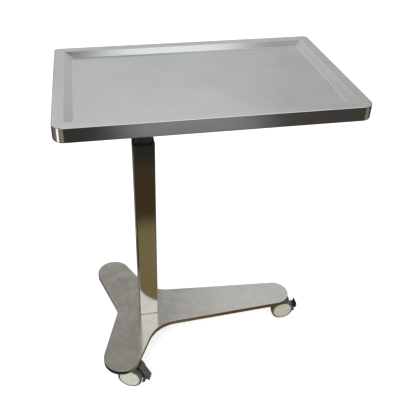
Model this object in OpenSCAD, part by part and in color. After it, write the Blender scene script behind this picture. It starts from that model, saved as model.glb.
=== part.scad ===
// Height-adjustable instrument cart: a stainless tray on a telescoping column,
// a Y-shaped base and three braked twin-wheel casters. Millimetres, +Z up.
// The origin is on the floor under the centre of the tray.

/* [Tray] */
// Length of the tray, along X
tray_l = 750; // [650:10:760]
// Width of the tray, along Y
tray_w = 475; // [440:5:480]
// Height of the rim above the floor
tray_top = 931; // [925:1:940]
// Height of the outer skirt
skirt_h = 38; // [36:1:42]
// Radius of the tray's two front corners
front_r = 28; // [20:1:34]
// Radius of the tray's two back corners
back_r = 12; // [10:1:30]
// Width of the flat rim around the tray
rim_w = 28; // [24:1:34]
// Width of the sloped band inside the rim
slope_w = 20; // [14:1:24]
// Depth of the tray floor below the rim
recess = 12; // [10:1:14]
// Thickness of the tray sheet
tray_sheet = 1.5; // [1.2:0.1:2]

/* [Column] */
// Distance of the column axis left of the tray centre
column_offset = 153; // [140:1:165]
// Outside width of the fixed square tube
outer_w = 60; // [58:1:64]
// Length of the fixed tube above the base
outer_h = 646; // [645:1:655]
// Outside width of the telescoping square tube
inner_w = 45; // [44:1:46]
// Wall of both tubes
tube_wall = 2; // [1.5:0.5:2]

/* [Base] */
// Height of the base's top face above the floor
base_top = 102; // [101:1:104]
// Height of the folded lip around the base
lip_h = 16; // [14:1:17]
// Thickness of the base sheet
base_sheet = 2; // [1.5:0.5:2]
// Centre of a short leg's round end, from the column axis
short_tip = [-102, 185.5];
// Radius of a short leg's round end
short_r = 56; // [52:1:56]
// Distance of the long leg's round end from the column axis
long_tip = 437; // [420:1:437]
// Radius of the long leg's round end
long_r = 48; // [46:1:50]
// Radius of the inside corners between the legs
corner_r = 110; // [90:1:115]
// Radius of the waist between the two short legs
waist_r = 45; // [30:1:60]

/* [Casters] */
// Radius of a caster wheel
wheel_r = 37.5; // [37:0.5:37.5]
// Distance from the swivel axis to the wheel axle
trail = 29; // [28:0.5:29]
// Outside width of a pair of wheels
caster_w = 57; // [56:1:60]
// Directions in which the front, back and right casters trail, in degrees
trail_angles = [-21.5, 21.5, 0];

/* [Hidden] */
$fn = 64;
eps = 0.5;

steel = [0.66, 0.66, 0.65];
dark_steel = [0.35, 0.34, 0.32];
black_plastic = [0.06, 0.06, 0.06];
cream_plastic = [0.82, 0.81, 0.75];
grey_rubber = [0.25, 0.25, 0.24];

column_x = -column_offset;
skirt_bottom = tray_top - skirt_h;
pan_underside = tray_top - recess - tray_sheet;

// Tray supports, from the pan down to the head of the column
rail_h = 12;
rail_w = 30;
rail_wall = 2;
rail_l = 640;
rail_y = 110;
rail_z = pan_underside - rail_h;
channel_l = 250;
channel_x = 45;
channel_z = rail_z - rail_h;
head_t = 6;
head_l = 130;
head_w = 100;
head_z = channel_z - head_t;
bolt_r = 4;
bolt_y = 35;

// Telescoping tube and its guides
outer_in = outer_w - 2 * tube_wall;
inner_in = inner_w - 2 * tube_wall;
outer_top = base_top + outer_h;
inner_z = head_z - 635;
cap_t = 3;
guide_gap = 0.3;
guide_h = 40;

// Gas spring inside the column
stand_r = 14;
stand_top = base_top + 268;
stud_r = 5;
cylinder_r = 12;
cylinder_in = 10.5;
cylinder_top = stand_top + 387;
cylinder_floor = stand_top + 6;
gland_h = 14;
rod_r = 5;
running_gap = 0.05;
piston_z = cylinder_floor + 103;
piston_h = 12;
rod_top = head_z - 12.5;
rod_block_z = rod_top - 17;
rod_block_h = 10;
valve_r = 2;
valve_out = 5;

// Release lever
lever_t = 5;
lever_w = 14;
lever_y = -36;
lever_z = head_z - 5.7;
lever_bar_z = rod_top + valve_out + 0.3;
lever_drop = 10;
lever_end = -180;
pivot_r = 3;
window_z = head_z - 13.5;

// Caster, in its own frame: swivel axis on Z, trailing along +X
wheel_in = 9.5;
wheel_out = caster_w / 2;
rim_r = 31.2;
axle_r = 4;
body_t = 15;
socket_z = base_top - 18;
plate_z = base_top - base_sheet - 4;
pivot = [trail + 44, wheel_r - 4];
pedal_w = 26;
pin_r = 2.5;
lobe = [pivot.x + 7, pivot.y - 5];

// Point of the front pedal's plate: s along it, upwards, and o out from the wheel axle
lean_angle = 30;
function lean(s, o) = [
  trail + o * cos(lean_angle) - s * sin(lean_angle),
  wheel_r + o * sin(lean_angle) + s * cos(lean_angle)
];

function polar(r, a) = [r * cos(a), r * sin(a)];
function flip(p) = [p.x, -p.y];
function meet(a, c, b, d) =
  let (k = cos(a) * sin(b) - sin(a) * cos(b))
  [(c * sin(b) - d * sin(a)) / k, (d * cos(a) - c * cos(b)) / k];

// Directions that the sides of the base face, in degrees
waist_side = 198;
inner_side = 27;
long_side = 86.26;

// How far along a round end's radius the straight sides start, so that each
// side crosses the arc instead of only touching it
tuck = 0.998;

module round_rect(l, w, r) {
  square([l - 2 * r, w], center = true);
  square([l, w - 2 * r], center = true);
  for (x = [-1, 1], y = [-1, 1])
    translate([x * (l / 2 - r), y * (w / 2 - r)]) circle(r);
}

module round_tube(w, wall, r, h) {
  linear_extrude(h) difference() {
    round_rect(w, w, r);
    round_rect(w - 2 * wall, w - 2 * wall, r - wall / 2);
  }
}

module at_column(z) {
  translate([column_x, 0, z]) children();
}

// Outline of the base, drawn inset by g: three round ends joined by tangent
// sides, with round inside corners
module base_outline(g) {
  waist_c = short_tip.x * cos(waist_side) + short_tip.y * sin(waist_side) + short_r;
  inner_c = short_tip.x * cos(inner_side) + short_tip.y * sin(inner_side) + short_r;
  long_c = long_tip * cos(long_side) + long_r;
  corner = meet(inner_side, inner_c + corner_r, long_side, long_c + corner_r);
  waist = [(waist_c + waist_r) / cos(waist_side), 0];
  side = [
    short_tip + polar(tuck * (short_r - g), waist_side),
    waist - polar(tuck * (waist_r + g), waist_side),
    waist
  ];
  inside = [
    [long_tip, 0] + polar(tuck * (long_r - g), long_side),
    corner - polar(tuck * (corner_r + g), long_side),
    corner,
    corner - polar(tuck * (corner_r + g), inner_side),
    short_tip + polar(tuck * (short_r - g), inner_side)
  ];
  for (s = [1, -1])
    translate([short_tip.x, s * short_tip.y]) circle(short_r - g);
  translate([long_tip, 0]) circle(long_r - g);
  difference() {
    polygon(concat(
      side,
      [for (i = [1, 0]) flip(side[i])],
      [for (i = [4:-1:0]) flip(inside[i])],
      inside
    ));
    translate(waist) circle(waist_r + g);
    for (s = [1, -1])
      translate([corner.x, s * corner.y]) circle(corner_r + g);
  }
}

module base_shell() {
  color(steel) difference() {
    union() {
      at_column(base_top - base_sheet) linear_extrude(base_sheet) base_outline(0);
      at_column(base_top - lip_h) linear_extrude(lip_h - base_sheet) difference() {
        base_outline(0);
        base_outline(base_sheet);
      }
    }
    at_column(base_top - lip_h) cylinder(r = stud_r, h = lip_h + eps);
  }
}

module base_frame() {
  color(dark_steel) difference() {
    at_column(plate_z) linear_extrude(4) base_outline(8);
    at_column(plate_z - eps) cylinder(r = stud_r, h = 4 + 2 * eps);
  }
}

module column_weld() {
  color(steel) at_column(base_top) linear_extrude(2.5) difference() {
    round_rect(outer_w + 6, outer_w + 6, 6);
    round_rect(outer_w, outer_w, 4);
  }
}

module outer_column() {
  color(steel) at_column(base_top) round_tube(outer_w, tube_wall, 4, outer_h);
}

module guide_cap() {
  opening = inner_w + 2 * guide_gap;
  color(black_plastic) at_column(outer_top) difference() {
    union() {
      linear_extrude(cap_t) round_rect(outer_w, outer_w, 4);
      translate([0, 0, -guide_h]) linear_extrude(guide_h) round_rect(outer_in, outer_in, 3);
    }
    translate([0, 0, -guide_h - eps])
      linear_extrude(guide_h + cap_t + 2 * eps) round_rect(opening, opening, 3.3);
  }
}

module stand_bolt() {
  color(dark_steel) at_column(plate_z - 6) {
    cylinder(r = 9, h = 6, $fn = 6);
    cylinder(r = stud_r, h = 26);
  }
}

module spring_stand() {
  color(dark_steel) at_column(base_top) difference() {
    union() {
      linear_extrude(5) round_rect(outer_in - 2, outer_in - 2, 3);
      cylinder(r = stand_r, h = stand_top - base_top);
    }
    translate([0, 0, 18]) cylinder(r = stand_r - 2.5, h = stand_top - base_top - 33);
    translate([0, 0, -eps]) cylinder(r = stud_r, h = 18 + 2 * eps);
    translate([0, 0, stand_top - base_top - 15 - eps]) cylinder(r = stud_r, h = 16);
  }
}

module spring_cylinder() {
  color(black_plastic) at_column(stand_top) difference() {
    union() {
      cylinder(r = cylinder_r, h = cylinder_top - stand_top);
      translate([0, 0, -12]) cylinder(r = stud_r, h = 12 + eps);
    }
    translate([0, 0, cylinder_floor - stand_top])
      cylinder(r = cylinder_in, h = cylinder_top - cylinder_floor + eps);
  }
}

module spring_gland() {
  color(dark_steel) at_column(cylinder_top - gland_h) difference() {
    cylinder(r = cylinder_in, h = gland_h);
    translate([0, 0, -eps]) cylinder(r = rod_r + running_gap, h = gland_h + 2 * eps);
  }
}

module inner_column() {
  color(steel) difference() {
    at_column(inner_z) round_tube(inner_w, tube_wall, 3, head_z - inner_z);
    translate([column_x - 9, -inner_w / 2 - eps, window_z])
      cube([18, tube_wall + 2 * eps, head_z - window_z + eps]);
  }
}

module lower_guide() {
  outside = outer_in - 2 * guide_gap;
  foot_t = 6;
  color(black_plastic) at_column(inner_z) difference() {
    translate([0, 0, -foot_t]) linear_extrude(guide_h + foot_t)
      round_rect(outside, outside, 2.5);
    linear_extrude(guide_h + eps) round_rect(inner_w, inner_w, 3);
    translate([0, 0, -foot_t - eps])
      linear_extrude(foot_t + 2 * eps) round_rect(inner_in - 4, inner_in - 4, 3);
  }
}

module head_plate() {
  color(dark_steel) difference() {
    at_column(head_z) linear_extrude(head_t) round_rect(head_l, head_w, 8);
    bolt_places(head_z - eps) cylinder(r = bolt_r, h = head_t + 2 * eps);
  }
}

module bolt_places(z) {
  for (x = [-1, 1], y = [-1, 1])
    at_column(z) translate([x * channel_x, y * bolt_y, 0]) children();
}

// Folded channel along X, open on top
module channel(l) {
  translate([-l / 2, -rail_w / 2, 0]) difference() {
    cube([l, rail_w, rail_h]);
    translate([-eps, rail_wall, rail_wall])
      cube([l + 2 * eps, rail_w - 2 * rail_wall, rail_h]);
  }
}

module cross_channels() {
  color(dark_steel) difference() {
    for (x = [-1, 1])
      at_column(channel_z) translate([x * channel_x, 0, 0]) rotate([0, 0, 90]) channel(channel_l);
    bolt_places(channel_z - eps) cylinder(r = bolt_r, h = rail_wall + 2 * eps);
  }
}

module tray_rails() {
  color(dark_steel)
    for (y = [-1, 1])
      translate([0, y * rail_y, rail_z]) channel(rail_l);
}

module tray_bolts() {
  color(dark_steel) bolt_places(head_z) {
    translate([0, 0, -5]) cylinder(r = 7, h = 5, $fn = 6);
    cylinder(r = bolt_r, h = head_t + rail_wall + 8);
  }
}

module tray_nuts() {
  color(dark_steel) bolt_places(channel_z + rail_wall) difference() {
    cylinder(r = 7.5, h = 6.5, $fn = 6);
    translate([0, 0, -eps]) cylinder(r = bolt_r, h = 6.5 + 2 * eps);
  }
}

// Solid that fills the tray's recess, grown by g on its sloped sides and floor
module recess_solid(g) {
  intersection() {
    rotate([90, 0, 0]) linear_extrude(tray_w, center = true) recess_section(tray_l, g);
    rotate([90, 0, 90]) linear_extrude(tray_l, center = true) recess_section(tray_w, g);
  }
}

module recess_section(span, g) {
  top = span / 2 - rim_w;
  step = slope_w / recess;
  over = g > 0 ? 0 : eps;
  polygon([
    [-top - g + slope_w, -recess - g], [top + g - slope_w, -recess - g],
    [top + g + g * step + over * step, over], [-top - g - g * step - over * step, over]
  ]);
}

// Outline of the tray drawn inset by g, with rounder corners in front
module tray_outline(g) {
  l = tray_l - 2 * g;
  w = tray_w - 2 * g;
  f = front_r - g;
  b = back_r - g;
  translate([-l / 2, f - w / 2]) square([l, w - f - b]);
  translate([f - l / 2, -w / 2]) square([l - 2 * f, f + eps]);
  translate([b - l / 2, w / 2 - b - eps]) square([l - 2 * b, b + eps]);
  for (x = [-1, 1]) {
    translate([x * (l / 2 - f), f - w / 2]) circle(f);
    translate([x * (l / 2 - b), w / 2 - b]) circle(b);
  }
}

module tray_pan() {
  hem_w = 9;
  color(steel) translate([0, 0, tray_top]) difference() {
    union() {
      difference() {
        translate([0, 0, -skirt_h]) linear_extrude(skirt_h) tray_outline(0);
        translate([0, 0, -skirt_h + tray_sheet]) linear_extrude(skirt_h - 2 * tray_sheet)
          tray_outline(tray_sheet);
        translate([0, 0, -skirt_h - eps]) linear_extrude(tray_sheet + 2 * eps)
          tray_outline(hem_w);
      }
      recess_solid(tray_sheet);
    }
    recess_solid(0);
  }
}

module spring_rod() {
  color(steel) difference() {
    union() {
      at_column(piston_z) cylinder(r = cylinder_in - running_gap, h = piston_h);
      at_column(piston_z) cylinder(r = rod_r, h = rod_top - piston_z);
    }
    at_column(rod_top - 25) cylinder(r = valve_r + running_gap, h = 25 + eps);
  }
}

module spring_head() {
  color(dark_steel) at_column(rod_block_z) difference() {
    linear_extrude(rod_block_h) round_rect(inner_in, inner_in, 2);
    translate([0, 0, -eps]) cylinder(r = rod_r, h = rod_block_h + 2 * eps);
  }
}

module spring_nut() {
  color(dark_steel) at_column(rod_block_z + rod_block_h) difference() {
    cylinder(r = 9, h = 6, $fn = 6);
    translate([0, 0, -eps]) cylinder(r = rod_r, h = 6 + 2 * eps);
  }
}

module valve_pin() {
  color(steel) at_column(rod_top - 20) cylinder(r = valve_r, h = 20 + valve_out);
}

// Round hole or pin along X at the lever's pivot
module lever_axis(r, l) {
  translate([column_x, lever_y, lever_z]) rotate([0, 90, 0]) cylinder(r = r, h = l, center = true);
}

module lever_bracket() {
  ear_t = 3;
  inside = lever_w / 2 + 0.5;
  face = -inner_w / 2;
  color(dark_steel) difference() {
    union() {
      translate([column_x - inside - ear_t, face - ear_t, window_z - 8])
        cube([2 * (inside + ear_t), ear_t, 8]);
      for (x = [-inside - ear_t, inside])
        translate([column_x + x, lever_y - 6, window_z - 4])
          cube([ear_t, face - lever_y + 6, head_z - window_z + 4]);
    }
    lever_axis(pivot_r, 40);
  }
}

module lever_pin() {
  color(steel) lever_axis(pivot_r, lever_w + 10);
}

module release_lever() {
  low = lever_bar_z - lever_drop;
  color(steel) difference() {
    union() {
      translate([column_x - lever_w / 2, 0, 0]) rotate([90, 0, 90]) linear_extrude(lever_w)
        polygon([
          [6, lever_bar_z], [6, lever_bar_z + lever_t], [-50, lever_bar_z + lever_t],
          [-62, low + lever_t], [lever_end, low + lever_t], [lever_end, low],
          [-64, low], [-52, lever_bar_z]
        ]);
      lever_axis(5, lever_w);
    }
    lever_axis(pivot_r + running_gap, 40);
  }
}

module lever_grip() {
  grip_l = 62;
  wall = 3.5;
  low = lever_bar_z - lever_drop;
  color(black_plastic) difference() {
    translate([column_x, lever_end - wall, low + lever_t / 2]) rotate([-90, 0, 0])
      linear_extrude(grip_l) round_rect(lever_w + 2 * wall, lever_t + 2 * wall, 5);
    translate([column_x - lever_w / 2, lever_end, low]) cube([lever_w, grip_l, lever_t]);
  }
}

// Places a caster's own frame: 0 is the front caster, 1 the back, 2 the right
module at_caster(i) {
  places = [flip(short_tip), short_tip, [long_tip, 0]];
  translate([column_x + places[i].x, places[i].y, 0]) rotate([0, 0, trail_angles[i]]) children();
}

// Solid of height w along the axle, drawn in the caster's XZ plane
module across(w) {
  rotate([90, 0, 0]) linear_extrude(w, center = true) children();
}

module axle_round(r, w) {
  translate([trail, 0, wheel_r]) rotate([90, 0, 0]) cylinder(r = r, h = w, center = true);
}

module pivot_round(r, w) {
  translate([pivot.x, 0, pivot.y]) rotate([90, 0, 0]) cylinder(r = r, h = w, center = true);
}

module caster_sockets() {
  color(dark_steel)
    for (i = [0:2])
      at_caster(i) translate([0, 0, socket_z]) difference() {
        cylinder(r = 14, h = plate_z - socket_z);
        translate([0, 0, -eps]) cylinder(r = 6, h = plate_z - socket_z + 2 * eps);
      }
}

module caster_stems() {
  color(steel)
    for (i = [0:2])
      at_caster(i) {
        translate([0, 0, socket_z - eps]) cylinder(r = 6, h = plate_z - socket_z + eps);
        translate([0, 0, socket_z - 2]) cylinder(r = 13, h = 2);
        translate([0, 0, socket_z - 28]) cylinder(r = rod_r, h = 26 + eps);
      }
}

module caster_body(i) {
  hub_r = 15;
  reach = hub_r / sqrt(2);
  color(black_plastic) at_caster(i) difference() {
    union() {
      translate([0, 0, socket_z - 11]) cylinder(r = 12, h = 8.7);
      across(body_t) {
        translate([trail, wheel_r]) circle(hub_r);
        translate(pivot) circle(6);
        polygon([
          [-11, 50], [-11, socket_z - 10], [11, socket_z - 10],
          [trail + reach, wheel_r + reach], [trail - reach, wheel_r - reach]
        ]);
        polygon([
          [trail, wheel_r + 12], pivot + [0, 6], pivot - [0, 6], [trail, wheel_r - 12]
        ]);
      }
    }
    translate([0, 0, socket_z - 29]) cylinder(r = rod_r + running_gap, h = 30);
    axle_round(axle_r, body_t + 2);
    pivot_round(pin_r, body_t + 2);
  }
}

module wheel_axle(i) {
  color(steel) at_caster(i) axle_round(axle_r, 2 * wheel_out - 9);
}

// Places a wheel's own frame: its axis on Z, its outer face up; side is -1 near, 1 far
module at_wheel(i, side) {
  at_caster(i) translate([trail, 0, wheel_r]) rotate([-90 * side, 0, 0]) children();
}

module tyre(i, side) {
  edge = 2.5;
  face = wheel_out - 0.5;
  color(grey_rubber) at_wheel(i, side) rotate_extrude() polygon([
    [rim_r, wheel_in], [wheel_r - edge, wheel_in], [wheel_r, wheel_in + edge],
    [wheel_r, face - edge], [wheel_r - edge, face], [rim_r, face]
  ]);
}

module hub(i, side) {
  bore = axle_r + running_gap;
  color(cream_plastic) at_wheel(i, side) rotate_extrude() polygon([
    [0, wheel_out - 4], [bore, wheel_out - 4], [bore, wheel_in - 0.5], [11, wheel_in - 0.5],
    [13, wheel_in + 5], [27, wheel_in + 5], [29, wheel_in + 1], [rim_r, wheel_in + 1],
    [rim_r, wheel_out - 0.7], [rim_r - 1.5, wheel_out], [0, wheel_out]
  ]);
}

// Outer part of a pedal: on the front caster a long plate that leans over the
// wheels, on the others a short upright blade with a toe tab
module pedal_blade(i) {
  if (i == 0)
    across(pedal_w) polygon([lean(-38, 43), lean(-38, 47), lean(21, 47), lean(21, 43)]);
  else {
    across(pedal_w) polygon([lobe, lobe + [4, 0], lobe + [4, 21], lobe + [0, 21]]);
    across(10) polygon([lobe, lobe + [10, 0], lobe + [10, 2.5], lobe + [4, 4], lobe + [0, 4]]);
  }
}

module pedal_ear(i) {
  translate(pivot) circle(5.5);
  if (i == 0)
    polygon([pivot + polar(5.5, 120), lean(-20, 44), lean(-33, 44), pivot - polar(5.5, 120)]);
  else
    polygon([pivot - [0, 5.5], lobe, lobe + [0, 10], pivot + [0, 5.5]]);
}

module brake_pedal(i) {
  ear_in = body_t / 2 + 0.5;
  ear_t = pedal_w / 2 - ear_in;
  ear_mid = ear_in + ear_t / 2;
  shoe_t = 12;
  color(black_plastic) at_caster(i) difference() {
    union() {
      for (s = [-1, 1]) {
        translate([0, s * ear_mid, 0]) across(ear_t) pedal_ear(i);
        translate([0, s * (wheel_in + shoe_t / 2), 0]) across(shoe_t) polygon([
          pivot + [-5.8, -5], pivot + [-7, -9.5], pivot + [-1, -10], pivot + [3, -5]
        ]);
      }
      pedal_blade(i);
    }
    pivot_round(pin_r + running_gap, pedal_w + 2);
  }
}

module pedal_pin(i) {
  color(steel) at_caster(i) pivot_round(pin_r, pedal_w + 1);
}

base_shell();
base_frame();
column_weld();
outer_column();
guide_cap();
stand_bolt();
spring_stand();
spring_cylinder();
spring_gland();
caster_sockets();
caster_stems();
inner_column();
lower_guide();
head_plate();
cross_channels();
tray_rails();
tray_bolts();
tray_nuts();
tray_pan();
spring_rod();
spring_head();
spring_nut();
valve_pin();
lever_bracket();
lever_pin();
release_lever();
lever_grip();
caster_body(0);  // caster_body_front
wheel_axle(0);  // wheel_axle_front
tyre(0, -1);  // near_tyre_front
hub(0, -1);  // near_hub_front
tyre(0, 1);  // far_tyre_front
hub(0, 1);  // far_hub_front
brake_pedal(0);  // brake_pedal_front
pedal_pin(0);  // pedal_pin_front
caster_body(1);  // caster_body_back
wheel_axle(1);  // wheel_axle_back
tyre(1, -1);  // near_tyre_back
hub(1, -1);  // near_hub_back
tyre(1, 1);  // far_tyre_back
hub(1, 1);  // far_hub_back
brake_pedal(1);  // brake_pedal_back
pedal_pin(1);  // pedal_pin_back
caster_body(2);  // caster_body_right
wheel_axle(2);  // wheel_axle_right
tyre(2, -1);  // near_tyre_right
hub(2, -1);  // near_hub_right
tyre(2, 1);  // far_tyre_right
hub(2, 1);  // far_hub_right
brake_pedal(2);  // brake_pedal_right
pedal_pin(2);  // pedal_pin_right
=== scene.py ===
"""Looks of the instrument cart: sheet-metal edges, wheels, finishes, light and camera."""

import math

import bmesh
import bpy
from mathutils import Matrix, Vector


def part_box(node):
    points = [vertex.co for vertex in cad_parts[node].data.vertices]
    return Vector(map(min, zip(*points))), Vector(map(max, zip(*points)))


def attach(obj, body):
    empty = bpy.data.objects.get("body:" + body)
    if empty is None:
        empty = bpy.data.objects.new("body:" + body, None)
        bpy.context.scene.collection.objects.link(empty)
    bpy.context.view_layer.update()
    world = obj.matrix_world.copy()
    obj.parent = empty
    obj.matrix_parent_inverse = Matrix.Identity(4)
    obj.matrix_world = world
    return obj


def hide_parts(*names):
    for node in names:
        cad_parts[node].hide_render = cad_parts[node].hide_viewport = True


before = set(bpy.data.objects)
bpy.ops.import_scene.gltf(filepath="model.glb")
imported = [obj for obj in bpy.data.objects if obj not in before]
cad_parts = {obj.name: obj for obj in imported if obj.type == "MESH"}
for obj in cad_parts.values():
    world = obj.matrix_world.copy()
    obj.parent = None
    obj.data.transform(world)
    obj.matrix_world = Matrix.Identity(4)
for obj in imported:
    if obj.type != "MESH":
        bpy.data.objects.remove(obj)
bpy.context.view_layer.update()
MM = 0.001


# ---------------------------------------------------------------- node materials
class Nodes:
    """Short names for the shader nodes that the finishes and the light are made of."""

    def __init__(self, tree):
        self.tree = tree
        tree.nodes.clear()

    def add(self, kind, **values):
        node = self.tree.nodes.new("ShaderNode" + kind)
        for name, value in values.items():
            if name in node.inputs:
                self.put(value, node.inputs[name])
            else:
                setattr(node, name, value)
        return node

    def put(self, value, socket):
        if isinstance(value, bpy.types.NodeSocket):
            self.tree.links.new(value, socket)
        else:
            socket.default_value = value

    def math(self, operation, *terms):
        node = self.add("Math", operation=operation)
        for term, socket in zip(terms, node.inputs):
            self.put(term, socket)
        return node.outputs[0]

    def noise(self, stretch, scale, detail=3.0):
        """Noise in the row frame, 0 to 1, drawn out along the axes where stretch is small."""
        place = self.add("TexCoord").outputs["Object"]
        mapped = self.add("Mapping", Vector=place, Scale=stretch).outputs[0]
        return self.add("TexNoise", Vector=mapped, Scale=scale, Detail=detail).outputs["Fac"]

    def ramp(self, value, start, end, low, high):
        """value from start to end, eased, gives low to high."""
        node = self.add("MapRange", interpolation_type="SMOOTHSTEP")
        for term, name in ((value, "Value"), (start, "From Min"), (end, "From Max"),
                           (low, "To Min"), (high, "To Max")):
            self.put(term, node.inputs[name])
        return node.outputs[0]

    def band(self, value, start, end, soft):
        """1 between start and end, fading to 0 over soft on either side."""
        return self.math("MULTIPLY",
                         self.ramp(value, start - soft, start + soft, 0.0, 1.0),
                         self.ramp(value, end - soft, end + soft, 1.0, 0.0))

    def mix(self, share, first, second):
        node = self.add("Mix", data_type="RGBA")
        self.put(share, node.inputs[0])
        self.put(rgba(first), node.inputs[6])
        self.put(rgba(second), node.inputs[7])
        return node.outputs[2]


def rgba(colour):
    return colour if isinstance(colour, bpy.types.NodeSocket) else (*colour, 1.0)


FINISHES = {}


def finish(name, dark, light, rough, metallic=0.0, stretch=(1, 1, 1), grain=900.0,
           grain_bump=0.05, cloud=14.0, cloud_bump=0.0, wear=0.0, coat=0.0, gloss=0.5):
    """A procedural finish: fine grain in the roughness and relief, and large clouds in the
    colour and roughness. rough is its lowest and highest roughness, wear brightens edges,
    and gloss is the specular level."""
    material = bpy.data.materials.new(name)
    material.use_nodes = True
    n = Nodes(material.node_tree)
    fine = n.noise(stretch, grain)
    large = n.noise((1, 1, 1), cloud, 5.0)
    clouds = n.ramp(large, 0.3, 0.7, 0.0, 1.0)
    colour = n.mix(clouds, dark, light)
    if wear:
        edge = n.ramp(n.add("NewGeometry").outputs["Pointiness"], 0.52, 0.6, 0.0, wear)
        colour = n.mix(edge, colour, tuple(min(1.0, 1.6 * c + 0.06) for c in light))
    blend = n.math("ADD", n.math("MULTIPLY", clouds, 0.55), n.math("MULTIPLY", fine, 0.45))
    roughness = n.ramp(blend, 0.2, 0.8, *rough)
    relief = n.add("Bump", Height=fine, Strength=grain_bump, Distance=0.0004).outputs[0]
    if cloud_bump:
        relief = n.add("Bump", Height=large, Strength=cloud_bump, Distance=0.004,
                       Normal=relief).outputs[0]
    shader = n.add("BsdfPrincipled", Roughness=roughness, Normal=relief)
    n.put(colour, shader.inputs["Base Color"])
    shader.inputs["Metallic"].default_value = metallic
    shader.inputs["Coat Weight"].default_value = coat
    shader.inputs["Specular IOR Level"].default_value = gloss
    out = n.add("OutputMaterial")
    n.tree.links.new(shader.outputs[0], out.inputs["Surface"])
    FINISHES[name] = material


finish("tray_steel", (0.575, 0.58, 0.575), (0.62, 0.625, 0.62), (0.145, 0.185), 1.0,
       stretch=(0.02, 1, 1), grain=1500.0, grain_bump=0.015, cloud=7.0)
finish("base_steel", (0.54, 0.53, 0.505), (0.60, 0.595, 0.575), (0.13, 0.20), 1.0,
       stretch=(0.04, 1, 1), grain=1200.0, grain_bump=0.015, cloud=34.0, cloud_bump=0.02)
finish("tube_steel", (0.55, 0.54, 0.52), (0.61, 0.60, 0.585), (0.08, 0.14), 1.0,
       stretch=(1, 1, 0.02), grain=1500.0, grain_bump=0.015, cloud=9.0)
finish("weld_steel", (0.36, 0.33, 0.29), (0.62, 0.60, 0.56), (0.25, 0.45), 1.0,
       grain=700.0, grain_bump=0.3, cloud=60.0)
finish("painted_steel", (0.045, 0.045, 0.042), (0.065, 0.064, 0.06), (0.38, 0.55), 0.0,
       grain=500.0, grain_bump=0.12, cloud=20.0, wear=0.35)
finish("zinc_steel", (0.42, 0.42, 0.40), (0.60, 0.60, 0.58), (0.22, 0.42), 1.0,
       grain=900.0, grain_bump=0.08, cloud=120.0)
finish("chromed_rod", (0.74, 0.74, 0.75), (0.82, 0.82, 0.82), (0.05, 0.11), 1.0,
       stretch=(1, 1, 0.1), grain=1500.0, grain_bump=0.02, cloud=25.0)
finish("black_enamel", (0.012, 0.012, 0.012), (0.022, 0.022, 0.021), (0.16, 0.28), 0.0,
       grain=300.0, grain_bump=0.05, cloud=30.0, coat=0.6)
finish("matt_black", (0.004, 0.004, 0.004), (0.008, 0.008, 0.007), (0.42, 0.56), 0.0,
       grain=1800.0, grain_bump=0.25, cloud=30.0, gloss=0.12)
finish("black_plastic", (0.012, 0.012, 0.012), (0.022, 0.021, 0.02), (0.38, 0.52), 0.0,
       grain=1800.0, grain_bump=0.25, cloud=30.0, wear=0.25)
finish("caster_plastic", (0.055, 0.058, 0.045), (0.082, 0.086, 0.066), (0.40, 0.56), 0.0,
       grain=1800.0, grain_bump=0.25, cloud=40.0, wear=0.3)
finish("pedal_plastic", (0.010, 0.011, 0.009), (0.020, 0.021, 0.017), (0.34, 0.5), 0.0,
       grain=1800.0, grain_bump=0.25, cloud=40.0, wear=0.3)
finish("grey_rubber", (0.050, 0.052, 0.046), (0.095, 0.097, 0.085), (0.62, 0.82), 0.0,
       grain=1400.0, grain_bump=0.4, cloud=70.0)
finish("cream_plastic", (0.51, 0.51, 0.44), (0.56, 0.56, 0.50), (0.26, 0.38), 0.0,
       grain=900.0, grain_bump=0.05, cloud=45.0)
# A darker, yellower copy of the cream plastic for the right caster's discs: painted shade.
finish("shaded_cream", (0.40, 0.405, 0.30), (0.45, 0.455, 0.35), (0.28, 0.42), 0.0,
       grain=900.0, grain_bump=0.05, cloud=45.0)


# ---------------------------------------------------------------- mesh helpers
def rounded(corners, steps=5):
    """The line through corners (a, b, radius) with its inside corners rounded."""
    line = [Vector(corners[0][:2])]
    for before, here, after in zip(corners, corners[1:], corners[2:]):
        p, radius = Vector(here[:2]), here[2]
        u = (Vector(before[:2]) - p).normalized()
        v = (Vector(after[:2]) - p).normalized()
        half = u.angle(v) / 2
        if radius < 0.01 * MM or half > math.radians(89):
            line.append(p)
            continue
        centre = p + (u + v).normalized() * (radius / math.sin(half))
        first = p + u * (radius / math.tan(half)) - centre
        last = p + v * (radius / math.tan(half)) - centre
        turn = first.angle_signed(last)
        for i in range(steps + 1):
            line.append(centre + Matrix.Rotation(-turn * i / steps, 2) @ first)
    line.append(Vector(corners[-1][:2]))
    return line


def in_mm(*corners):
    return [tuple(c * MM for c in corner) for corner in corners]


def skin(name, rings, body, material, replaces=(), caps=True, round_trip=False):
    """A piece whose surface runs through rings of points, each joined to the next."""
    bm = bmesh.new()
    rows = [[bm.verts.new(p) for p in ring] for ring in rings]
    pairs = list(zip(rows, rows[1:]))
    if round_trip:
        pairs.append((rows[-1], rows[0]))
    for low, high in pairs:
        for i, vert in enumerate(low):
            after = (i + 1) % len(low)
            bm.faces.new((vert, low[after], high[after], high[i]))
    if caps:
        bm.faces.new(list(reversed(rows[0])))
        bm.faces.new(rows[-1])
    bmesh.ops.remove_doubles(bm, verts=bm.verts, dist=1e-6)
    bmesh.ops.recalc_face_normals(bm, faces=bm.faces)
    for face in bm.faces:
        face.smooth = True
    mesh = bpy.data.meshes.new(name)
    bm.to_mesh(mesh)
    bm.free()
    piece = bpy.data.objects.new(name, mesh)
    bpy.context.scene.collection.objects.link(piece)
    mesh.materials.append(FINISHES[material])
    weighted = piece.modifiers.new("flat_faces", "WEIGHTED_NORMAL")
    weighted.weight = 80
    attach(piece, body)
    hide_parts(*replaces)
    return piece


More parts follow.
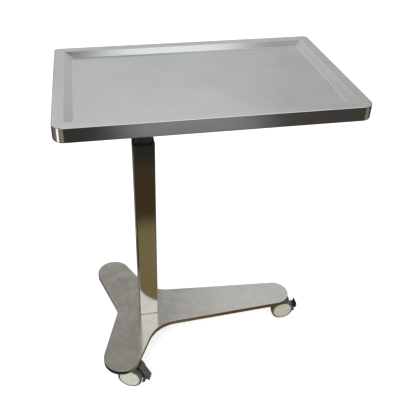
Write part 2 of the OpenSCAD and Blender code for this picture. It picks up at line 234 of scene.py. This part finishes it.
def rect_ring(length, width, back, front, z, centre=(0, 0), steps=8):
    """Points round a rectangle whose back and front corners have these radii."""
    ring = []
    for quarter, (sx, sy) in enumerate([(1, 1), (-1, 1), (-1, -1), (1, -1)]):
        radius = back if sy > 0 else front
        for i in range(steps + 1):
            turn = math.radians(90 * (quarter + i / steps))
            ring.append((centre[0] + sx * (length / 2 - radius) + radius * math.cos(turn),
                         centre[1] + sy * (width / 2 - radius) + radius * math.sin(turn), z))
    return ring


# ---------------------------------------------------------------- tray
def make_tray():
    """The tray's sheet: hemmed skirt, rolled edge, flat rim, slope and recessed floor."""
    low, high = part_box("tray_pan")
    length, width, top = high.x - low.x, high.y - low.y, high.z
    skirt = (high.z - low.z) / MM
    sheet, hem, recess = 1.5, 9, 12
    rim, foot, floor_edge = 28, 48, 62      # how far in the rim, the slope and the folds end
    back, front, least = 12, 28, 2          # corner radii
    profile = rounded(in_mm(
        (floor_edge, -recess, 0), (foot, -recess, 6), (rim, 0, 3.5), (0, 0, 1.4),
        (0, -skirt, 3), (hem, -skirt, 0.7), (hem, -skirt + sheet, 0.7),
        (sheet, -skirt + sheet, 2.2), (sheet, -sheet, 0.3), (rim - 0.4, -sheet, 4),
        (foot - 0.4, -recess - sheet, 5), (floor_edge, -recess - sheet, 0)))
    rings = []
    for inset, z in profile:
        radii = [max(r * MM - inset, least * MM) for r in (back, front)]
        rings.append(rect_ring(length - 2 * inset, width - 2 * inset, *radii, top + z))
    skin("tray", rings, "lift", "tray_steel", ["tray_pan"])


# ---------------------------------------------------------------- base
def polar(radius, angle):
    return Vector((radius * math.cos(angle), radius * math.sin(angle)))


def base_ring(inset, z, column_x):
    """The outline of the base drawn inset, with the same count of points at any inset: the
    long leg's tip, the corner between the legs, a short leg's tip, and the notch, mirrored."""
    short_tip, short_r, long_tip, long_r = (-102, 185.5), 56, 437, 48
    corner_r, waist_r = 110, 45
    waist, inner, side = (math.radians(a) for a in (198, 27, 86.26))

    def reach(angle):
        return Vector(short_tip).dot(polar(1, angle)) + short_r

    a, b = reach(inner) + corner_r, long_tip * math.cos(side) + long_r + corner_r
    k = math.cos(inner) * math.sin(side) - math.sin(inner) * math.cos(side)
    corner = Vector(((a * math.sin(side) - b * math.sin(inner)) / k,
                     (b * math.cos(inner) - a * math.cos(side)) / k))
    notch = Vector(((reach(waist) + waist_r) / math.cos(waist), 0))
    g = inset / MM
    arcs = [
        (Vector((long_tip, 0)), long_r - g, 0, side, 20),
        (corner, -(corner_r + g), side, inner, 16),
        (Vector(short_tip), short_r - g, inner, waist, 28),
        (notch, -(waist_r + g), waist, math.pi, 6),
    ]
    half = [centre + polar(radius, start + (end - start) * i / count)
            for centre, radius, start, end, count in arcs for i in range(count + 1)]
    whole = half + [Vector((p.x, -p.y)) for p in reversed(half[1:-1])]
    return [(column_x + p.x * MM, p.y * MM, z) for p in whole]


def make_base():
    """The base sheet with its folded lip, and the weld at the column's foot."""
    low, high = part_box("base_shell")
    column_low, column_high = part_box("outer_column")
    column_x = (column_low.x + column_high.x) / 2
    lip, sheet, flat = (high.z - low.z) / MM, 2, 10
    profile = rounded(in_mm(
        (flat, 0, 0), (0, 0, 1.1), (0, -lip, 0.6), (sheet, -lip, 0.6),
        (sheet, -sheet, 0.5), (flat, -sheet, 0)))
    rings = [base_ring(inset, high.z + z, column_x) for inset, z in profile]
    skin("base_plate", rings, "base", "base_steel", ["base_shell"])

    # The weld round the foot of the column: a quarter-round bead in short ripples
    foot_low, foot_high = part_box("column_weld")
    side = column_high.x - column_low.x
    leg = (foot_high.x - foot_low.x - side) / 2
    height = foot_high.z - foot_low.z
    path = rect_ring(side, side, 4 * MM, 4 * MM, 0, (column_x, 0), steps=4)
    dense = []
    for p, q in zip(path, path[1:] + path[:1]):
        p, q = Vector(p), Vector(q)
        count = max(1, round((q - p).length / MM))
        dense += [p.lerp(q, i / count) for i in range(count)]
    rings = []
    ripple, facets = 4, 5
    for i, p in enumerate(dense):
        before, after = dense[i - 1], dense[(i + 1) % len(dense)]
        along = (after - before).normalized()
        out = Vector((along.y, -along.x, 0))
        bulge = 0.9 * (0.86 + 0.14 * abs(math.sin(i * math.pi / ripple)))
        ring = []
        for k in range(facets + 1):
            turn = math.radians(90 * k / facets)
            ring.append(p + out * (leg * bulge * math.cos(turn))
                        + Vector((0, 0, foot_low.z + height * bulge * math.sin(turn))))
        ring.append(p + Vector((0, 0, foot_low.z)) - out * 0.3 * MM)
        rings.append(ring)
    skin("weld_bead", rings, "base", "weld_steel", ["column_weld"],
         caps=False, round_trip=True)


# ---------------------------------------------------------------- wheels
def lathe(name, line, place, body, material, replaces, steps=96):
    """A turned piece: line holds (radius, distance along the axle)."""
    rings = []
    for radius, along in line:
        rings.append([place @ Vector((radius * math.cos(2 * math.pi * i / steps), along,
                                      radius * math.sin(2 * math.pi * i / steps)))
                      for i in range(steps)])
    return skin(name, rings, body, material, replaces, caps=False, round_trip=True)


def make_wheels():
    """Tyres and discs, turned about each caster's axle, outer face away from the middle."""
    tyre = rounded(in_mm(
        (32, 9.5, 0), (34.6, 9.5, 0.6), (37.5, 11.2, 2.2), (37.5, 26.6, 2.2),
        (34.6, 28, 0.8), (31.2, 28, 0.6), (31.2, 9.5, 0.3), (32, 9.5, 0)), 4)
    disc = rounded(in_mm(
        (4.1, 9, 0), (11, 9, 0.4), (13, 14.5, 1.5), (27, 14.5, 1.5), (29, 10.5, 0.5),
        (31.1, 10.5, 0.5), (31.1, 28.5, 1.1), (28.6, 28.5, 0.5), (27.8, 27.7, 0.5),
        (14, 28.2, 4), (0.05, 28.3, 0), (0.05, 24.5, 0), (4.1, 24.5, 0)), 4)
    for place in ("front", "back", "right"):
        axle_low, axle_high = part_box("wheel_axle_" + place)
        near_low, near_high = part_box("near_hub_" + place)
        far_low, far_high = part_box("far_hub_" + place)
        middle = (axle_low + axle_high) / 2
        across = (far_low + far_high - near_low - near_high) / 2
        across.z = 0
        across.normalize()
        for side, sign in (("near", -1), ("far", 1)):
            y_axis = across * sign
            x_axis = y_axis.cross(Vector((0, 0, 1)))
            turn = Matrix((x_axis, y_axis, Vector((0, 0, 1)))).transposed().to_4x4()
            seat = Matrix.Translation(middle) @ turn
            body = f"{side}_wheel_{place}"
            lathe(f"{side}_tread_{place}", tyre, seat, body, "grey_rubber",
                  [f"{side}_tyre_{place}"])
            # The right caster's discs take the darker copy of the cream, which is painted
            # shade.
            lathe(f"{side}_disc_{place}", disc, seat, body,
                  "shaded_cream" if place == "right" else "cream_plastic",
                  [f"{side}_hub_{place}"])


make_tray()
make_base()
make_wheels()


# ---------------------------------------------------------------- finishes of the CAD nodes
CAD_FINISHES = {
    "tube_steel": ["outer_column", "inner_column", "release_lever"],
    "painted_steel": ["base_frame", "spring_stand", "head_plate", "cross_channels",
                      "tray_rails", "spring_head", "lever_bracket"],
    "zinc_steel": ["stand_bolt", "spring_gland", "caster_sockets", "caster_stems",
                   "tray_bolts", "tray_nuts", "spring_nut", "lever_pin", "wheel_axle",
                   "pedal_pin"],
    "chromed_rod": ["spring_rod", "valve_pin"],
    "black_enamel": ["spring_cylinder"],
    "matt_black": ["guide_cap"],
    "black_plastic": ["lower_guide", "lever_grip"],
    "caster_plastic": ["caster_body", "brake_pedal_front"],
    "pedal_plastic": ["brake_pedal"],
}
EDGES = {"base_frame": 0.6, "head_plate": 0.8, "cross_channels": 0.5, "tray_rails": 0.5,
         "lever_bracket": 0.5, "release_lever": 0.7, "lever_grip": 1.6, "guide_cap": 0.6,
         "caster_body": 1.2, "brake_pedal": 0.9, "tray_bolts": 0.5, "tray_nuts": 0.5,
         "stand_bolt": 0.5, "caster_stems": 0.5, "wheel_axle": 0.6}


def family(name):
    """A caster's nodes share one entry: the place at the end of the name is left out."""
    return name.rsplit("_", 1)[0] if name.endswith(("_front", "_back", "_right")) else name


for name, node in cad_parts.items():
    found = [f for f, members in CAD_FINISHES.items() if name in members]
    found += [f for f, members in CAD_FINISHES.items() if family(name) in members]
    if found:
        node.data.materials.clear()
        node.data.materials.append(FINISHES[found[0]])
    if family(name) in EDGES:
        weld = node.modifiers.new("joined", "WELD")
        weld.merge_threshold = 0.01 * MM
        bevel = node.modifiers.new("edges", "BEVEL")
        bevel.width = EDGES[family(name)] * MM
        bevel.segments = 3
        bevel.limit_method = "ANGLE"
        bevel.angle_limit = math.radians(40)
        bevel.harden_normals = True


# ---------------------------------------------------------------- floor and light
def plane(name, z, half, material):
    """A square of the stage at height z."""
    bm = bmesh.new()
    bm.faces.new([bm.verts.new((x * half, y * half, z))
                  for x, y in ((-1, -1), (1, -1), (1, 1), (-1, 1))])
    mesh = bpy.data.meshes.new(name)
    bm.to_mesh(mesh)
    bm.free()
    piece = bpy.data.objects.new(name, mesh)
    bpy.context.scene.collection.objects.link(piece)
    mesh.materials.append(material)
    return piece


def floor_material():
    """A pale floor with soft shadows, bright enough to meet the white backdrop."""
    material = bpy.data.materials.new("floor")
    material.use_nodes = True
    n = Nodes(material.node_tree)
    shader = n.add("BsdfDiffuse", Color=(0.93, 0.93, 0.93, 1))
    glow = n.add("Emission", Color=(1, 1, 1, 1), Strength=0.62)
    both = n.add("AddShader")
    n.tree.links.new(shader.outputs[0], both.inputs[0])
    n.tree.links.new(glow.outputs[0], both.inputs[1])
    out = n.add("OutputMaterial")
    n.tree.links.new(both.outputs[0], out.inputs["Surface"])
    return material


# The room's dark floor, seen only in the steel, and its patches of other colours:
# (centre x, centre y, half length, half width, soft edge, colour), later ones on top
ROOM_FLOOR = (0.046, 0.042, 0.038)
FLOOR_PATCHES = [
    (0.24, -0.16, 0.40, 0.16, 0.06, (0.15, 0.09, 0.045)),
    (-0.05, -0.80, 0.25, 0.31, 0.05, (0.072, 0.047, 0.023)),
    (-0.04, -0.40, 0.15, 0.24, 0.06, (0.26, 0.21, 0.10)),
    (-0.04, -1.39, 0.14, 0.28, 0.05, (0.024, 0.024, 0.022)),
    (0.28, -2.05, 0.42, 0.40, 0.15, (0.38, 0.39, 0.39)),
    (1.15, -1.85, 0.42, 0.40, 0.15, (0.075, 0.066, 0.060)),
    (0.30, 0.45, 0.60, 0.42, 0.08, (0.80, 0.80, 0.76)),
    (-0.22, 0.28, 0.07, 0.24, 0.05, (0.16, 0.14, 0.11)),
    (-0.24, 0.85, 0.07, 0.33, 0.05, (0.23, 0.19, 0.155)),
    (-1.06, -1.68, 0.44, 0.30, 0.10, (0.38, 0.35, 0.28)),
    (-1.86, -0.94, 0.26, 0.34, 0.06, (1.90, 1.86, 1.83)),
    (-1.95, 0.08, 0.36, 0.55, 0.08, (0.30, 0.20, 0.20)),
    (2.00, -0.90, 0.36, 0.72, 0.15, (0.29, 0.29, 0.19)),
]


def card_material():
    material = bpy.data.materials.new("floor_card")
    material.use_nodes = True
    n = Nodes(material.node_tree)
    where = n.add("SeparateXYZ", Vector=n.add("TexCoord").outputs["Object"])
    x, y = where.outputs[0], where.outputs[1]
    colour = ROOM_FLOOR
    for cx, cy, hx, hy, soft, tint in FLOOR_PATCHES:
        inside = n.math("MULTIPLY", n.band(x, cx - hx, cx + hx, soft),
                        n.band(y, cy - hy, cy + hy, soft))
        colour = n.mix(inside, colour, tint)
    glow = n.add("Emission", Color=colour)
    out = n.add("OutputMaterial")
    n.tree.links.new(glow.outputs[0], out.inputs["Surface"])
    return material


floor = plane("floor", 0.0, 12.0, floor_material())
floor.visible_glossy = False
card = plane("floor_card", -0.003, 12.0, card_material())
for ray in ("camera", "diffuse", "transmission", "volume_scatter", "shadow"):
    setattr(card, "visible_" + ray, False)


def make_world():
    """White to the camera, soft white to matt surfaces, and a room to what mirrors it: pale
    walls, a ceiling lamp, and a bright panel behind the camera."""
    world = bpy.data.worlds.new("room")
    bpy.context.scene.world = world
    world.use_nodes = True
    n = Nodes(world.node_tree)
    where = n.add("SeparateXYZ", Vector=n.add("TexCoord").outputs["Generated"])
    x, y, z = where.outputs
    bearing = n.math("DIVIDE", x, n.math("MAXIMUM", y, 0.05))

    # The far wall, by how far right (bearing) and how high (z) it is
    wall = n.mix(n.ramp(bearing, 0.22, 0.42, 0.0, 1.0), (0.70, 0.72, 0.715),
                 (0.60, 0.60, 0.59))
    nearer = n.math("MULTIPLY", n.ramp(z, 0.425, 0.475, 0.0, 1.0),
                    n.ramp(bearing, 0.28, 0.45, 1.0, 0.0))
    wall = n.mix(nearer, wall, (0.87, 0.88, 0.88))
    wall = n.mix(n.ramp(z, 0.28, 0.35, 1.0, 0.0), wall, (0.64, 0.64, 0.63))
    side = n.math("MULTIPLY", n.ramp(z, 0.20, 0.32, 0.0, 1.0),
                  n.ramp(bearing, -0.22, -0.12, 1.0, 0.0))
    wall = n.mix(side, wall, (0.62, 0.62, 0.61))
    upper = n.mix(n.ramp(bearing, 0.06, 0.33, 0.0, 1.0), (0.40, 0.385, 0.355),
                  (0.80, 0.81, 0.79))
    room = n.mix(n.ramp(z, 0.58, 0.68, 0.0, 1.0), wall, upper)

    # The ceiling and its lamp, then the wall behind the camera and its bright panel
    overhead = n.mix(n.band(x, 0.018, 0.262, 0.028), (0.22, 0.22, 0.22), (1.29, 1.33, 1.35))
    room = n.mix(n.ramp(z, 0.90, 0.95, 0.0, 1.0), room, overhead)
    behind = n.mix(n.ramp(z, 0.05, 0.25, 0.0, 1.0), (0.35, 0.33, 0.30),
                   (0.60, 0.60, 0.585))
    panel = n.math("MULTIPLY", n.ramp(z, 0.40, 0.50, 0.0, 1.0), n.band(x, -0.30, 0.50, 0.08))
    behind = n.mix(panel, behind, (1.80, 1.80, 1.74))
    seen = n.mix(n.ramp(y, -0.16, -0.10, 1.0, 0.0), room, behind)

    path = n.add("LightPath")
    soft = n.add("Background", Color=(1, 1, 1, 1), Strength=0.55)
    mirrored = n.add("Background", Color=seen, Strength=1.0)
    plain = n.add("Background", Color=(1, 1, 1, 1), Strength=1.0)
    first = n.add("MixShader")
    n.put(path.outputs["Is Glossy Ray"], first.inputs[0])
    n.tree.links.new(soft.outputs[0], first.inputs[1])
    n.tree.links.new(mirrored.outputs[0], first.inputs[2])
    second = n.add("MixShader")
    n.put(path.outputs["Is Camera Ray"], second.inputs[0])
    n.tree.links.new(first.outputs[0], second.inputs[1])
    n.tree.links.new(plain.outputs[0], second.inputs[2])
    out = n.add("OutputWorld")
    n.tree.links.new(second.outputs[0], out.inputs["Surface"])


make_world()


def soft_light(name, place, aim, size, watts):
    light = bpy.data.lights.new(name, "AREA")
    light.shape, light.size = "DISK", size
    light.energy = watts
    lamp = bpy.data.objects.new(name, light)
    bpy.context.scene.collection.objects.link(lamp)
    lamp.location = place
    lamp.rotation_euler = (Vector(aim) - Vector(place)).to_track_quat("-Z", "Y").to_euler()
    lamp.visible_glossy = False


soft_light("key", (-1.6, -2.2, 2.6), (0, 0, 0.3), 1.6, 42)
soft_light("fill", (2.2, -1.2, 1.8), (0, 0, 0.4), 1.6, 14)


# ---------------------------------------------------------------- camera
def make_camera():
    """The photograph's view, from above the front left. middle is where the lens's axis
    meets a 420-pixel frame, and the rest of the way to the frame's centre is lens shift."""
    focal, frame_side = 566.7, 420
    place = Vector((-0.2787, -1.3351, 1.5286))
    yaw, pitch, roll = 0.170, 0.580, 0.010
    middle = Vector((180, 170))
    ahead = Vector((math.sin(yaw) * math.cos(pitch), math.cos(yaw) * math.cos(pitch),
                    -math.sin(pitch)))
    right = Vector((math.cos(yaw), -math.sin(yaw), 0))
    up = right.cross(ahead)
    tilted = right * math.cos(roll) + up * math.sin(roll)
    upward = up * math.cos(roll) - right * math.sin(roll)
    data = bpy.data.cameras.new("camera")
    data.sensor_width = 36
    data.lens = 36 * focal / frame_side
    data.shift_x = (frame_side / 2 - middle.x) / frame_side
    data.shift_y = (middle.y - frame_side / 2) / frame_side
    data.clip_start, data.clip_end = 0.05, 60
    camera = bpy.data.objects.new("camera", data)
    bpy.context.scene.collection.objects.link(camera)
    axes = Matrix((tilted, upward, -ahead)).transposed().to_4x4()
    camera.matrix_world = Matrix.Translation(place) @ axes
    bpy.context.scene.camera = camera


make_camera()
bpy.context.scene.view_settings.view_transform = "Standard"
